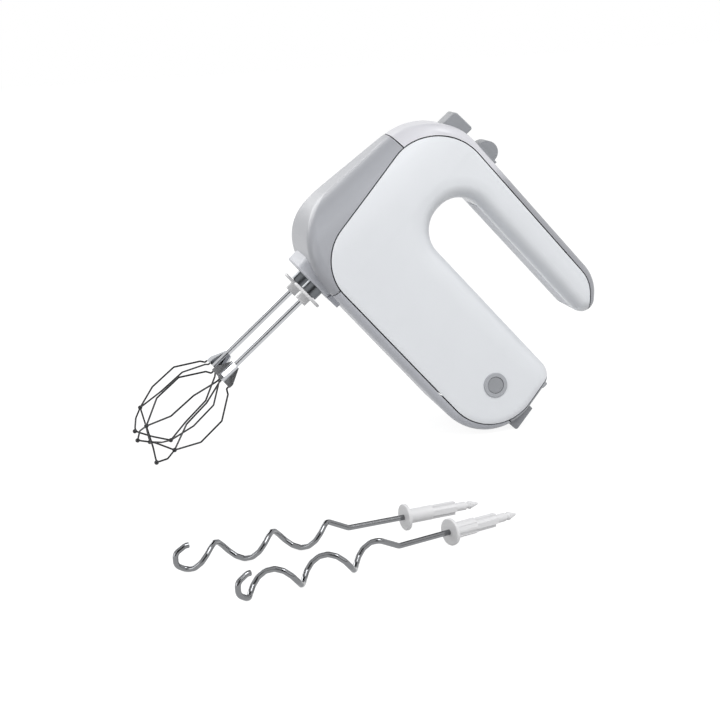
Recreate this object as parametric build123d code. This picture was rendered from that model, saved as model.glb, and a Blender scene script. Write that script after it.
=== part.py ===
from build123d import *
import math
import os

os.makedirs("parts", exist_ok=True)

# Hand mixer in millimetres. The pieces are drawn in the mixer's own frame: x runs from the nose to the
# heel, z from the tool sockets up to the handle, y across. At the end the whole mixer is leaned over, so
# that it stands on its whisk tips and its heel, with the two dough hooks lying beside it on the table.

# Casing
pod_length = 202.5
pod_height = 68.5
rear_lean = 9.0
gap_height = 40.0
gap_front = 60.0
handle_short = 10.5
grip_depth = 25.0
grip_fall = 2.6
width_at_base = 88.0
width_at_top = 46.0
wall = 2.4
edge_radius = 8.0
nose_tip = 3.2
nose_depth = 48.0
nose_bluntness = 0.97
nose_lean = 3.6
nose_stations = (0.4, 0.66, 0.85, 0.95, 1.0)

# Corner radii of the casing's side outline
nose_foot_radius = 42.0
heel_radius = 38.0
rear_top_radius = 12.0
gap_radius = 19.0
handle_tip_radius = 8.5
handle_end_radius = 26.0
handle_end_lean = 22.0
brow_radius = 42.0

# Side panels
seam = 0.8
panel_front_low = 26.5
panel_front_high = 12.5
panel_foot = 6.2
panel_rear = 3.5
panel_top_drop = 4.6
panel_end_inset = 3.0
panel_radii = (30.0, 34.0, 0, 0, 22.0, 36.0)
liner_front = 80.0
liner_half = 13.0
cover_drop = 38.0
rail_front = 49.5
frame_foot = 26.0

# Tool sockets and collar
tool_spacing = 42.0
tool_x = 41.0
collar_front = 23.5
collar_width = 62.0
collar_corner = 15.0
collar_rear_corner = 1.5
collar_drop = 3.0
collar_rise = 4.0
collar_brim = 9.0
collar_wall = 2.4
collar_rim = 1.2
rail_step_length = 9.0
rail_step_half = 29.0
fit = 0.1
running_gap = 0.3

# Spindles that hold the tools
spindle_radius = 6.0
spindle_foot = -9.5
spindle_top = 43.0
bush_radius = 7.8
bush_height = 8.0

# Motor line
axle_z = 30.0
shaft_radius = 3.0
port_share = 0.227
motor_tail = 44.5
worm_pitch_radius = 7.5
wheel_teeth = 20
wheel_width = 6.0
wheel_hub_wall = 2.5
wheel_hub_rise = 2.0
tooth_reach = 1.1
tooth_root = 1.5
thread_tip = 0.8
thread_root = 2.2
tooth_tip = 1.0
tooth_base = 2.4
thread_sink = 0.3
worm_length = 26.0

# Gear case
case_front = 22.0
case_rear = 66.0
case_plate = 4.0
case_roof = 47.0
case_half_width = 31.0
case_corner = 12.0
case_wall_inset = 6.0
case_roof_plate = 3.0
bearing_radius = 8.0
screw_inset = 7.0
screw_head = 3.0
screw_sink = 0.6

# Motor
core_front = 84.0
stator_side = 46.0
stator_bore = 14.5
armature_radius = 13.8
armature_slots = 10
slot_half = 1.0
slot_depth = 6.0
winding_reach = 5.0
winding_inset = 2.0
winding_round = 1.8
fan_x = 69.0
fan_radius = 20.0
fan_depth = 7.0
fan_plate = 1.4
fan_hub_radius = 7.0
fan_blades = 9
blade_half = 0.7
commutator_gap = 7.0
commutator_length = 11.0
commutator_radius = 7.0
groove_half = 0.3
groove_depth = 0.8
bracket_gap = 2.0
bracket_margin = 2.0
coil_in = 13.0
coil_out = 18.5
coil_low = 6.6
coil_high = 13.0
coil_clear = 1.0
iron_corner = 8.0
pad_inset = 2.0
pad_half_width = 14.0
brush_side = 6.0
brush_out = 19.0
holder_wall = 1.5
holder_clear = 3.0
coupling_radius = 8.0
coupling_grip = 6.0
coupling_depth = 8.0
coupling_wall = 2.2

# Shanks of the tools
boss_radius = 3.95
boss_top = 4.5
boss_ribs = 8
rib_rise = 0.4
rib_width = 1.2
wing_reach = 3.6
wing_width = 2.6
wing_core = 2.7
wing_top = 19.0
stem_radius = 2.35
stem_top = 25.7
neck_radius = 1.6
neck_top = 26.6
tip_widest = 28.4
tip_round = 0.6
shank_top = 33.5
flange_thickness = 2.0
flange_top = -10.0

# Whisks
whisk_flange_radius = 10.75
hub_drop = 5.0
hub_radius = 4.1
rod_radius = 2.0
whisk_rod_end = -82.8
wire_radius = 0.6
bead_radius = 1.5
whisk_fins = 4
fin_foot = -87.8
fin_reach = 8.2
fin_lip = 3.0
fin_thickness = 2.4
spreader_height = 13.0
spreader_wall = 1.1
leg_drop = 1.8
leg_flare = 3.2
leg_inset = 1.2
leg_turn = 10.0
whisk_turn = -18.0
shoulder_share = 0.8
leg_bend = 1.2
arc_bend = 4.0
arc_bulge = 1.6
arc_rise = 6.0
cage_shoulder_radius = 19.6
cage_shoulder_z = -106.3
cage_belly_radius = 20.0
cage_belly_z = -125.4
cage_bead_radius = 15.3
cage_bead_z = -141.8
cage_foot_radius = 11.0
cage_foot_z = -153.9

# Dough hooks
hook_rod_radius = 1.5
hook_radius = 5.8
hook_pitch = 32.0
hook_neck = 33.0
hook_lead_in = 12.3
hook_turns = 2.5
hook_steps = 10
hook_bend = 4.0
curl_radius = 6.4
curl_tail = 2.0
hook_yaw = (14.5, 25.2)
hook_x = (44.0, 60.0)
hook_y = (-224.5, -258.2)

# Controls
eject_front = 26.0
eject_length = 16.0
eject_rise = 5.2
eject_half_width = 8.5
eject_travel = 5.0
eject_height = 20.2
eject_slope = 1.0
eject_round = 0.8
rod_length = 8.0
rod_half_width = 4.0
rod_overlap = 1.0
fork_z = 56.0
fork_height = 5.0
fork_reach = 5.0
prong_radius = 2.1
prong_clear = 1.0
knob_x = 60.0
knob_radius = 7.3
knob_half_width = 8.0
knob_travel = 14.0
knob_stem = 8.0
knob_neck = 4.0
knob_sole = 2.2
knob_brim = 1.5
knob_shoe = 1.6
slot_clear = 0.5
board_x = 82.0
board_length = 66.0
board_half = 14.0
board_rise = 2.0
board_thickness = 1.6
board_post_radius = 2.2
board_post_inset = 4.0
chip_x = (28.0, 44.0, 56.0)
chip_size = (9.0, 6.0, 5.0)
switch_length = 22.0
switch_half_width = 9.0
switch_clear = 10.0
switch_corner = 1.5
button_inset = 35.0
button_z = 35.6
button_radius = 5.2
button_rise = 0.5
button_depth = 4.0
button_foot = 2.0
button_foot_plate = 1.5
button_stem_radius = 2.5
button_stem = 12.0
bezel_radius = 8.1
bezel_rise = 0.9
bezel_round = 0.6
port_radius = 11.5
port_wall = 2.5
port_start = 12.0
port_foot = (14.0, 22.0)
port_foot_half = 9.0

# Heel and rear flap
heel_reach = 3.4
heel_low = 25.5
heel_height = 17.5
heel_inner = 20.5
heel_inset = 13.0
heel_tip = 1.5
heel_brow = 0.6
heel_slope = 3.0
heel_sink = 12.0
heel_under = 0.5
flap_half_width = 18.0
flap_foot = 27.0
flap_gap = 0.8
flap_plate = 2.5
flap_lip = 3.0
flap_lip_top = 9.0
flap_lip_edge = 2.0
flap_drop = 6.0
pin_rod_radius = 1.2
hinge_drop = 8.5
knuckle_half = 13.0
ear_half = 1.5

# Worked out from the sizes above
handle_foot = pod_height + gap_height
gap_middle = pod_height + gap_height / 2
handle_end = pod_length - handle_short
handle_top_rear = handle_foot + grip_depth
handle_top_front = handle_top_rear + grip_fall
cover_top = handle_top_front - cover_drop
side_lean = math.degrees(math.atan((width_at_base - width_at_top) / 2 / handle_top_front))
handle_run = handle_end - handle_end_lean - nose_tip
top_fall = math.degrees(math.atan(grip_fall / handle_run))
shaft_rear = pod_length * (1 - port_share)
core_length = shaft_rear - motor_tail - core_front
commutator_x = core_front + core_length + commutator_gap
bracket_x = commutator_x + commutator_length + bracket_gap
pad_length = (core_length - 2 * pad_inset) / 4
screw_x = (collar_front + screw_inset, rail_front - screw_inset)
eject_rear = eject_front + eject_length
eject_top = handle_top_front + eject_rise
eject_foot = eject_top - eject_height
button_x = pod_length - button_inset
heel_high = heel_low + heel_height
heel_outer = width_at_base / 2 - heel_inset
hinge_z = pod_height - hinge_drop
flap_top = hinge_z - flap_drop
ear_y = knuckle_half + ear_half + running_gap
wheel_pitch_radius = tool_spacing / 2 - worm_pitch_radius
worm_lead = 2 * math.pi * wheel_pitch_radius / wheel_teeth
hook_flange_radius = hook_radius + hook_rod_radius
foot_turn = 90 - whisk_turn
tool_y = {"left": -tool_spacing / 2, "right": tool_spacing / 2}


def half_width(z):
    """Half of the casing's width at a height."""
    return (width_at_base - (width_at_base - width_at_top) * z / handle_top_front) / 2


def roof(x):
    """Height of the straight top of the handle."""
    return handle_top_front - (x - nose_tip) * math.tan(math.radians(top_fall))


def rear(z):
    """Where the leaning rear wall stands at a height, were it not rounded at its foot."""
    return pod_length - rear_lean * z / pod_height


def rear_face(z):
    """Where the rear wall's face is at a height, with its rounded foot."""
    slant = math.atan(rear_lean / pod_height)
    if z > heel_radius * (1 + math.sin(slant)):
        return rear(z)
    middle = rear(heel_radius) - heel_radius / math.cos(slant)
    return middle + math.sqrt(heel_radius**2 - (heel_radius - z) ** 2)


hinge_x = rear(hinge_z) + 2 * pin_rod_radius + 2 * running_gap


def rounded(points, radii):
    """A flat face with the given corners, each rounded by its own radius."""
    face = make_face(Polyline(*points, close=True))
    for point, radius in zip(points, radii):
        corner = min(face.vertices(), key=lambda v: (v.X - point[0]) ** 2 + (v.Y - point[1]) ** 2)
        if radius:
            face = fillet(corner, radius)
    return face


def slab(face, y_low, y_high):
    """A side outline, drawn in x and z, made solid between two values of y."""
    return Pos(0, y_high, 0) * extrude(Plane.XZ * face, amount=y_high - y_low)


def brick(x, y, z):
    """A block between two values in each direction."""
    size = Box(x[1] - x[0], y[1] - y[0], z[1] - z[0], align=(Align.MIN, Align.MIN, Align.MIN))
    return Pos(x[0], y[0], z[0]) * size


def post(x, y, radius, z_low, z_high):
    """A round bar along z."""
    bar = Cylinder(radius, z_high - z_low, align=(Align.CENTER, Align.CENTER, Align.MIN))
    return Pos(x, y, z_low) * bar


def axle(radius, x_low, x_high, y=0.0, z=axle_z):
    """A round bar along x."""
    bar = Cylinder(radius, x_high - x_low, align=(Align.CENTER, Align.CENTER, Align.MIN))
    return Pos(x_low, y, z) * Rot(0, 90, 0) * bar


def cross_bar(radius, x, z, y_low, y_high):
    """A round bar along y."""
    bar = Cylinder(radius, y_high - y_low, align=(Align.CENTER, Align.CENTER, Align.MAX))
    return Pos(x, y_low, z) * Rot(90, 0, 0) * bar


def polar(radius, degrees, z):
    """A point around a tool's axis."""
    angle = math.radians(degrees)
    return (radius * math.cos(angle), radius * math.sin(angle), z)


def wire_along(points, bend, radius):
    """Round wire along straight runs that are joined by bends."""
    path = FilletPolyline(*points, radius=bend)
    start = Plane(origin=path @ 0, z_dir=path % 0)
    return sweep(start * Circle(radius), path=path)


def casing_outline():
    """The casing seen from the side: a C that is open at the rear, between the handle and the pod."""
    points = [
        (nose_tip, 0),
        (pod_length, 0),
        (pod_length - rear_lean, pod_height),
        (gap_front, pod_height),
        (gap_front, handle_foot),
        (handle_end, handle_foot),
        (handle_end - handle_end_lean, handle_top_rear),
        (nose_tip, handle_top_front),
    ]
    radii = [
        nose_foot_radius,
        heel_radius,
        rear_top_radius,
        gap_radius,
        gap_radius,
        handle_tip_radius,
        handle_end_radius,
        brow_radius,
    ]
    return rounded(points, radii)


def casing_block(inset):
    """The casing as a full block, shrunk by an inset: rounded edges and a blunt, lofted nose."""
    outline = casing_outline()
    if inset:
        outline = offset(outline, amount=-inset, kind=Kind.ARC)
    low = width_at_base / 2 - inset
    high = width_at_top / 2 - inset
    front = make_face(
        Polyline((-low, 0), (low, 0), (high, handle_top_front), (-high, handle_top_front), close=True)
    )
    sides = extrude(Plane.YZ * front, amount=2 * pod_length, both=True)
    block = (slab(outline, -width_at_base, width_at_base) & sides).solids()[0]
    flanks = [f for f in block.faces() if f.geom_type == GeomType.PLANE and abs(f.normal_at().Y) > 0.9]
    block = fillet([e for f in flanks for e in f.edges()], edge_radius - inset)
    back = split(block, bisect_by=Plane.YZ.offset(nose_depth), keep=Keep.TOP)
    root = min(back.faces(), key=lambda f: f.center().X)
    box = root.bounding_box()
    length = nose_depth - nose_tip - inset
    sections = [root]
    for share in nose_stations:
        behind = length * (1 - share)
        foot = box.min.Z + nose_foot_radius - inset - quarter(nose_foot_radius - inset, behind)
        top = box.max.Z - brow_radius + inset + quarter(brow_radius - inset, behind)
        narrow = math.sqrt(1 - (share * nose_bluntness) ** 4)
        shrink = (1, narrow, (top - foot) / (box.max.Z - box.min.Z))
        slice_face = scale(Pos(-nose_depth, 0, -box.min.Z) * root, by=shrink)
        section = Pos(0, 0, foot - nose_foot_radius) * slice_face
        station = Pos(nose_depth - share * length, 0, nose_foot_radius)
        sections.append(station * Rot(0, share * nose_lean, 0) * section)
    return (back + loft(sections)).solids()[0]


def quarter(radius, behind):
    """Rise of a quarter round of the nose at a distance behind its front."""
    return math.sqrt(radius**2 - max(0.0, radius - behind) ** 2)


def panel_outline(grow):
    """The side panel seen from the side. It runs past the casing where it rolls into the finger gap."""
    end = handle_end - panel_end_inset
    end_slope = handle_end_lean / grip_depth
    points = [
        (panel_front_low, panel_foot),
        (pod_length - panel_rear, panel_foot),
        (rear(gap_middle) - panel_rear, gap_middle),
        (end + end_slope * gap_height / 2, gap_middle),
        (end - handle_end_lean, roof(handle_end) - panel_top_drop),
        (panel_front_high, roof(panel_front_high) - panel_top_drop),
    ]
    face = rounded(points, panel_radii)
    return offset(face, amount=grow, kind=Kind.ARC) if grow else face


outer_block = casing_block(0)
inner_block = casing_block(wall)
shell = outer_block - inner_block
far = 2 * width_at_base
band = shell - slab(panel_outline(seam), -far, far)


def side_plane(side, x, z):
    """A plane that lies on one flank of the casing, facing outwards."""
    sign = -1 if side == "left" else 1
    lean = math.radians(side_lean)
    normal = (0, sign * math.cos(lean), math.sin(lean))
    return Plane(origin=(x, sign * half_width(z), z), x_dir=(1, 0, 0), z_dir=normal)


def stub(plane, radius, low, high):
    """A round bar on a plane, between two heights over it."""
    bar = Cylinder(radius, high - low, align=(Align.CENTER, Align.CENTER, Align.MIN))
    return plane * Pos(0, 0, low) * bar


def collar_body(grow, low, high):
    """The boss around the tool sockets: round in front, square where it meets the rail."""
    half = collar_width / 2
    corners = [(collar_front, -half), (rail_front, -half), (rail_front, half), (collar_front, half)]
    face = rounded(corners, [collar_corner, collar_rear_corner, collar_rear_corner, collar_corner])
    if grow:
        face = offset(face, amount=grow, kind=Kind.ARC)
    return Pos(0, 0, low) * extrude(face, amount=high - low)


def grip_zone(grow):
    """The flat underside of the grip, where the liner lies between the two panels."""
    half = liner_half + grow
    return brick((liner_front - grow, far * 2), (-half, half), (gap_middle, handle_foot + 2 * wall))


# Casing pieces
def side_panel(side):
    """One white side shell, with a hole for its release button."""
    if side == "left":
        region = slab(panel_outline(0), -far, -seam / 2)
    else:
        region = slab(panel_outline(0), seam / 2, far)
    hole = stub(side_plane(side, button_x, button_z), button_radius + running_gap, -3 * wall, wall)
    return (shell & region) - hole - grip_zone(seam)


def front_cover():
    """The grey nose, down to the opening for the tool collar."""
    region = brick((-wall, rail_front), (-far, far), (-far, cover_top))
    return (band & region) - collar_body(fit, -far / 4, pod_height / 2)


def top_strip():
    """The light spine over the brow and the handle, with openings for the ejector and the speed slider."""
    over_brow = brick((-wall, liner_front), (-far, far), (cover_top + seam, far))
    over_handle = brick((liner_front, far * 2), (-far, far), (gap_middle, far))
    strip = band & (over_brow + over_handle)
    mouth = brick(
        (eject_front - running_gap, eject_rear + running_gap),
        (-eject_half_width - running_gap, eject_half_width + running_gap),
        (cover_top, far),
    )
    slot = Box(knob_stem + knob_travel + 2 * slot_clear, knob_neck + 2 * slot_clear, 4 * wall)
    return strip - mouth - knob_plane() * Pos(knob_travel / 2, 0, 0) * slot


def handle_liner():
    """The soft grey strip under the grip, between the panels."""
    return shell & slab(panel_outline(0), -far, far) & grip_zone(0)


def base_rail():
    """The grey underside, from a low step behind the tool collar round the heel."""
    rail = band & brick((rail_front + seam, far * 2), (-far, far), (-wall, frame_foot))
    step_x = (rail_front + seam, rail_front + seam + rail_step_length)
    step = brick(step_x, (-rail_step_half, rail_step_half), (-collar_drop, wall))
    return rail + fillet(step.edges().filter_by(Axis.Z), collar_rim)


def rear_frame():
    """The rear wall, with the mouth of the drive port and the ears that hold the flap's pin."""
    region = brick((pod_length / 2, far * 2), (-far, far), (frame_foot + seam, pod_height + wall))
    mouth = axle(port_radius, pod_length / 2, far * 2)
    wall_piece = (band & region) - mouth
    for sign in (-1, 1):
        ear = slab(ear_outline(), -ear_half, ear_half)
        wall_piece += Pos(0, sign * ear_y, 0) * ear - outer_block
    return wall_piece - cross_bar(pin_rod_radius, hinge_x, hinge_z, -far, far)


def ear_outline():
    """The side of one hinge ear, from inside the wall to just past the pin."""
    reach = 2 * pin_rod_radius
    return rounded(
        [
            (hinge_x - 2 * reach, hinge_z - reach),
            (hinge_x + reach, hinge_z - reach),
            (hinge_x + reach, hinge_z + reach),
            (hinge_x - 2 * reach, hinge_z + reach),
        ],
        [0, pin_rod_radius, pin_rod_radius, 0],
    )


def tool_collar():
    """The grey boss with two holes for the tool spindles."""
    collar = collar_body(0, -collar_drop, collar_brim)
    rim = collar.edges().group_by(Axis.Z)[0]
    collar = fillet(rim, collar_rim)
    collar -= collar_body(-collar_wall, collar_rise, collar_brim)
    for y in tool_y.values():
        collar -= post(tool_x, y, bush_radius + fit, collar_rise, collar_brim)
        collar -= post(tool_x, y, spindle_radius + running_gap, -far, far)
    for x in screw_x:
        collar -= post(x, 0, screw_head, -far, -collar_drop + screw_sink)
    return collar - collar_screws()


def heel_corners():
    """The corners of a heel foot, seen from the side, from its upper root round its tip."""
    tip = rear(heel_low) + heel_reach
    return [
        (rear(heel_high) - heel_sink, heel_high),
        (tip - heel_slope, heel_high),
        (tip, heel_low),
        (rear(heel_low) - heel_sink, heel_low - heel_under),
    ]


def heel_foot(side):
    """One wedge on the rear wall that the mixer stands on."""
    wedge = rounded(heel_corners(), [0, heel_brow, heel_tip, 0])
    low, high = (-heel_outer, -heel_inner) if side == "left" else (heel_inner, heel_outer)
    return slab(wedge, low, high) - outer_block


def port_flap():
    """The cover of the rear drive port, with a finger lip below and a knuckle round its pin above."""
    outer = flap_gap + flap_plate
    plate = [(rear_face(z) + flap_gap, z) for z in (flap_foot, heel_radius, flap_top)]
    plate += [(rear_face(z) + out, z) for z, out in (
        (flap_top, outer),
        (flap_foot + flap_lip_top, outer),
        (flap_foot + flap_lip, outer + flap_lip),
        (flap_foot, outer + flap_lip_edge),
    )]
    leaf = slab(make_face(Polyline(*plate, close=True)), -flap_half_width, flap_half_width)
    neck = make_face(Polyline(
        (rear(flap_top) + flap_gap, flap_top),
        (hinge_x - pin_rod_radius, hinge_z),
        (hinge_x + pin_rod_radius, hinge_z),
        (rear(flap_top) + outer, flap_top),
        close=True,
    ))
    leaf += slab(neck, -knuckle_half, knuckle_half)
    leaf += cross_bar(2 * pin_rod_radius, hinge_x, hinge_z, -knuckle_half, knuckle_half)
    return leaf - cross_bar(pin_rod_radius + fit / 2, hinge_x, hinge_z, -far, far)


def flap_pin():
    """The steel pin of the rear flap."""
    return cross_bar(pin_rod_radius, hinge_x, hinge_z, -ear_y - ear_half, ear_y + ear_half)


# Gear case and bearings
def gear_case():
    """The frame round the gears, with seats for the bushes, the motor shaft and the ejector's prongs."""
    wall_y = (-case_half_width + case_wall_inset, case_half_width - case_wall_inset)
    face = RectangleRounded(case_rear - case_front, 2 * case_half_width, case_corner)
    middle = (case_front + case_rear) / 2
    floor_z = collar_brim + running_gap
    floor = Pos(middle, 0, floor_z) * extrude(face, amount=collar_rise + bush_height - floor_z)
    floor += collar_body(-collar_wall - fit, collar_rise, floor_z)
    top = Pos(middle, 0, case_roof) * extrude(face, amount=case_roof_plate)
    uprights = (floor_z, case_roof)
    front_wall = brick((case_front, case_front + case_plate), wall_y, uprights)
    back_wall = brick((case_rear - case_plate, case_rear), wall_y, uprights)
    case = floor + top + front_wall + back_wall
    for y in tool_y.values():
        case += post(tool_x, y, bush_radius, spindle_top - case_roof_plate, case_roof)
    for y in tool_y.values():
        case -= post(tool_x, y, bush_radius, 0, collar_rise + bush_height)
        case -= post(tool_x, y, spindle_radius + fit, 0, spindle_top + running_gap)
        case -= post(tool_x, y, prong_radius + running_gap, 0, far)
    case -= axle(shaft_radius + fit / 2, 0, case_front + case_plate)
    case -= axle(bearing_radius, case_rear - case_plate, case_rear)
    return case - collar_screws()


def spindle_bush(side):
    """A bronze bush that a tool spindle turns in."""
    y = tool_y[side]
    ring = post(tool_x, y, bush_radius, collar_rise, collar_rise + bush_height)
    return ring - post(tool_x, y, spindle_radius + fit, -far, far)


def shaft_bearing(x):
    """A ball bearing of the motor shaft, drawn as its two closed rings in one."""
    return axle(bearing_radius, x, x + case_plate) - axle(shaft_radius + fit / 2, 0, far)


def rear_bracket():
    """The upright plate that carries the rear end of the motor shaft."""
    half = stator_side / 2 + bracket_margin
    plate = brick((bracket_x, bracket_x + case_plate), (-half, half), (wall, axle_z + stator_side / 2))
    return plate - axle(bearing_radius, 0, far)


# Motor
def stator_core():
    """The laminated iron round the armature, with slots for the field coils."""
    face = RectangleRounded(stator_side, stator_side, iron_corner)
    iron = Pos(core_front, 0, axle_z) * Rot(0, 90, 0) * extrude(face, amount=core_length)
    iron -= axle(stator_bore, 0, far)
    for coil in field_coil_bars():
        iron -= coil
    return iron


def field_coil_bars():
    """The straight sides of the two field coils."""
    bars = []
    for y in ((-coil_out, -coil_in), (coil_in, coil_out)):
        for z in ((axle_z + coil_low, axle_z + coil_high), (axle_z - coil_high, axle_z - coil_low)):
            bars.append(brick((core_front, core_front + core_length), y, z))
    return bars


def field_coils():
    """Two copper coils: straight sides in the iron, arched ends clear of the armature."""
    coils = field_coil_bars()
    core_rear = core_front + core_length
    ends = ((core_front - winding_reach, core_front), (core_rear, core_rear + winding_reach))
    arch_top = stator_side / 2 - coil_clear
    for x in ends:
        for sign in (-1, 1):
            low, high = sorted((axle_z + sign * coil_low, axle_z + sign * arch_top))
            coils.append(brick(x, (-coil_out, -coil_in), (low, high)))
            coils.append(brick(x, (coil_in, coil_out), (low, high)))
            low, high = sorted((axle_z + sign * (stator_bore + coil_clear), axle_z + sign * arch_top))
            coils.append(brick(x, (-coil_in, coil_in), (low, high)))
    return coils[0].fuse(*coils[1:])


def motor_pads():
    """Two rubber pads under the motor's iron."""
    pads = []
    across = (-pad_half_width, pad_half_width)
    for x in (core_front + pad_inset, core_front + core_length - pad_inset - pad_length):
        pads.append(brick((x, x + pad_length), across, (wall, axle_z - stator_side / 2)))
    return Compound(pads)


def armature_core():
    """The slotted iron of the armature."""
    core = axle(armature_radius, core_front, core_front + core_length)
    length = (core_front, core_front + core_length)
    depth = (armature_radius - slot_depth, armature_radius + slot_depth)
    slot = brick(length, (-slot_half, slot_half), depth)
    for i in range(armature_slots):
        core -= Pos(0, 0, axle_z) * Rot(360 * i / armature_slots, 0, 0) * slot
    return core - axle(shaft_radius, 0, far)


def armature_windings():
    """The copper ends of the armature, in front of the iron and behind it."""
    ends = []
    for x in (core_front - winding_reach, core_front + core_length):
        ring = axle(armature_radius - winding_inset, x, x + winding_reach) - axle(shaft_radius, 0, far)
        rims = ring.edges().filter_by(GeomType.CIRCLE).sort_by(SortBy.RADIUS)[-2:]
        ends.append(fillet(rims, winding_round))
    return Compound(ends)


def commutator():
    """The copper commutator, grooved between its bars."""
    length = (commutator_x, commutator_x + commutator_length)
    depth = (commutator_radius - groove_depth, commutator_radius + groove_depth)
    drum = axle(commutator_radius, *length) - axle(shaft_radius, 0, far)
    groove = brick(length, (-groove_half, groove_half), depth)
    for i in range(armature_slots):
        drum -= Pos(0, 0, axle_z) * Rot(360 * i / armature_slots, 0, 0) * groove
    return drum


def carbon_brushes():
    """The two carbon blocks that run on the commutator."""
    near_x = commutator_x + commutator_length / 2 - brush_side / 2
    blocks = []
    for low, high in ((-brush_out, -commutator_radius - fit), (commutator_radius + fit, brush_out)):
        z = (axle_z - brush_side / 2, axle_z + brush_side / 2)
        blocks.append(brick((near_x, near_x + brush_side), (low, high), z))
    return Compound(blocks)


def brush_holders():
    """Square sleeves on the rear bracket that guide the brushes."""
    sleeves = []
    side = brush_side / 2 + holder_wall
    middle = commutator_x + commutator_length / 2
    inner = commutator_radius + holder_clear
    outer = brush_out - fit
    for low, high in ((-outer, -inner), (inner, outer)):
        sleeve = brick((middle - side, bracket_x), (low, high), (axle_z - side, axle_z + side))
        sleeves.append(sleeve - carbon_brushes())
    return Compound(sleeves)


def cooling_fan():
    """The fan between the gears and the motor."""
    length = (fan_x, fan_x + fan_depth)
    fan = axle(fan_radius, fan_x, fan_x + fan_plate) + axle(fan_hub_radius, *length)
    blade = brick(length, (-blade_half, blade_half), (fan_hub_radius - blade_half, fan_radius - blade_half))
    for i in range(fan_blades):
        fan += Pos(0, 0, axle_z) * Rot(360 * i / fan_blades, 0, 0) * blade
    return fan - axle(shaft_radius, 0, far)


def worm_thread():
    """One right-hand thread on the front of the motor shaft, in step with the worm wheels."""
    path = Helix(worm_lead, worm_length - 2 * worm_lead, worm_pitch_radius)
    root = worm_pitch_radius - tooth_root
    tip = worm_pitch_radius + tooth_reach + fit
    face = make_face(Polyline(
        (root - thread_sink, -thread_root / 2),
        (tip, -thread_tip / 2),
        (tip, thread_tip / 2),
        (root - thread_sink, thread_root / 2),
        close=True,
    ))
    return sweep(Plane.XZ * face, path=path, is_frenet=True)


def motor_shaft():
    """The steel motor shaft with its worm."""
    shaft = axle(shaft_radius, case_front + running_gap, shaft_rear)
    shaft += axle(worm_pitch_radius - tooth_root, tool_x - worm_length / 2, tool_x + worm_length / 2)
    thread_start = worm_lead * round((worm_length / 2 - worm_lead) / worm_lead)
    turned = Pos(tool_x - thread_start, 0, axle_z) * Rot(0, 90, 0) * Rot(0, 0, 90) * worm_thread()
    return shaft + turned


def rear_coupling():
    """The six-sided drive socket on the rear end of the motor shaft."""
    hub = axle(coupling_radius, shaft_rear - coupling_grip, shaft_rear + coupling_depth)
    hub -= axle(shaft_radius, 0, shaft_rear)
    socket = extrude(RegularPolygon(coupling_radius - coupling_wall, 6), amount=coupling_depth)
    return hub - Pos(shaft_rear, 0, axle_z) * Rot(0, 90, 0) * socket


# Worm wheels and spindles
def wheel_face(turn):
    """The toothed outline of a worm wheel."""
    root = wheel_pitch_radius - tooth_root
    tip = wheel_pitch_radius + tooth_reach
    points = []
    for i in range(wheel_teeth):
        middle = 360 * i / wheel_teeth + turn
        base = math.degrees(tooth_base / 2 / root)
        crown = math.degrees(tooth_tip / 2 / tip)
        for radius, angle in ((root, -base), (tip, -crown), (tip, crown), (root, base)):
            points.append(polar(radius, middle + angle, 0)[:2])
    return make_face(Polyline(*points, close=True))


def worm_wheel(side):
    """A plastic worm wheel with slanted teeth, on its spindle."""
    slant = worm_lead / (2 * math.pi * worm_pitch_radius)
    lead_turn = math.degrees(slant * wheel_width / wheel_pitch_radius)
    phase = 180 / wheel_teeth if side == "right" else 0
    low = wheel_face(phase - lead_turn / 2)
    high = Pos(0, 0, wheel_width) * wheel_face(phase + lead_turn / 2)
    y = tool_y[side]
    wheel = Pos(tool_x, y, axle_z - wheel_width / 2) * loft([low, high], ruled=True)
    hub_foot = collar_rise + bush_height + running_gap
    hub_top = axle_z + wheel_width / 2 + wheel_hub_rise
    wheel += post(tool_x, y, spindle_radius + wheel_hub_wall, hub_foot, hub_top)
    return wheel - post(tool_x, y, spindle_radius, -far, far)


def spindle(side):
    """The steel sleeve that takes a tool's shank, cut to the shape of the shank's four wings."""
    y = tool_y[side]
    sleeve = post(0, 0, spindle_radius, spindle_foot, spindle_top)
    sleeve -= post(0, 0, boss_radius + rib_rise + fit, spindle_foot, boss_top + running_gap)
    sleeve -= post(0, 0, wing_core + fit, spindle_foot, spindle_top)
    for turn in (0, 90):
        sleeve -= Rot(0, 0, turn) * wing_pair(fit, wing_top + running_gap)
    return Pos(tool_x, y, 0) * sleeve


def wing_pair(grow, top):
    """Two of the four wings that turn a tool, on opposite sides of its axis."""
    reach = wing_reach + grow
    half = wing_width / 2 + grow
    return brick((-reach, reach), (-half, half), (boss_top, top))


# Controls
def knob_plane():
    """The top of the handle under the speed slider, with x running to the rear."""
    fall = math.radians(top_fall)
    return Plane(
        origin=(knob_x, 0, roof(knob_x)),
        x_dir=(math.cos(fall), 0, -math.sin(fall)),
        z_dir=(math.sin(fall), 0, math.cos(fall)),
    )


def speed_knob():
    """The half-round speed slider on its thin sole, with a stem through the slot and a shoe below."""
    dome = Rot(90, 0, 0) * Cylinder(knob_radius, 2 * knob_half_width)
    dome &= brick((-far, far), (-far, far), (0, far))
    dome = Pos(0, 0, running_gap + knob_sole) * dome
    brim = knob_radius + knob_brim
    brim_half = knob_half_width + knob_sole
    sole = brick((-brim, brim), (-brim_half, brim_half), (running_gap, running_gap + knob_sole))
    shoe_top = -wall - running_gap
    shoe_half = knob_half_width - knob_shoe
    neck_y = (-knob_neck / 2, knob_neck / 2)
    stem = brick((-knob_stem / 2, knob_stem / 2), neck_y, (shoe_top, running_gap))
    shoe = brick((-knob_radius, knob_radius), (-shoe_half, shoe_half), (shoe_top - knob_shoe, shoe_top))
    return knob_plane() * (dome + sole + stem + shoe)


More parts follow.
